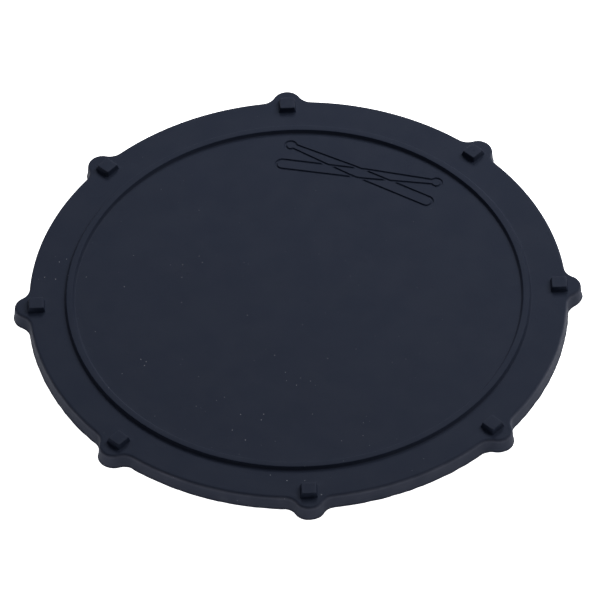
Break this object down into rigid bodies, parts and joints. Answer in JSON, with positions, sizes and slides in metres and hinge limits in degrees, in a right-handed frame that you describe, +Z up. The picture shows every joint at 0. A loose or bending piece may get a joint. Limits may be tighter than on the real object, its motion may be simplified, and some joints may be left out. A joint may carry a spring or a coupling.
{
  "type": "drum practice pad",
  "caption": "Flat rubber practice pad shaped like a drum from above: eared hoop with square heads, raised ring bead, flat playing face, bonded backing with a non-slip sheet.",
  "frame": {"origin": "on the supporting surface, under the centre of the pad", "axes": "+Z up out of the playing face, +Y towards the emblem, which lies midway between two ears, +X to the right seen from above"},
  "size_m": [0.2296, 0.2296, 0.0099],
  "materials": {
    "silicone_rubber": "matt dark blue-grey silicone",
    "hardboard": "plain pressed hardboard",
    "grip_rubber": "matt black fine-celled foam rubber",
    "adhesive_film": "pale double-sided adhesive film"
  },
  "bodies": {
    "root": {"pad_moulding": "silicone_rubber", "core_disc": "hardboard", "grip_sheet": "grip_rubber", "core_bond": "adhesive_film", "grip_bond": "adhesive_film"}
  },
  "joints": []
}
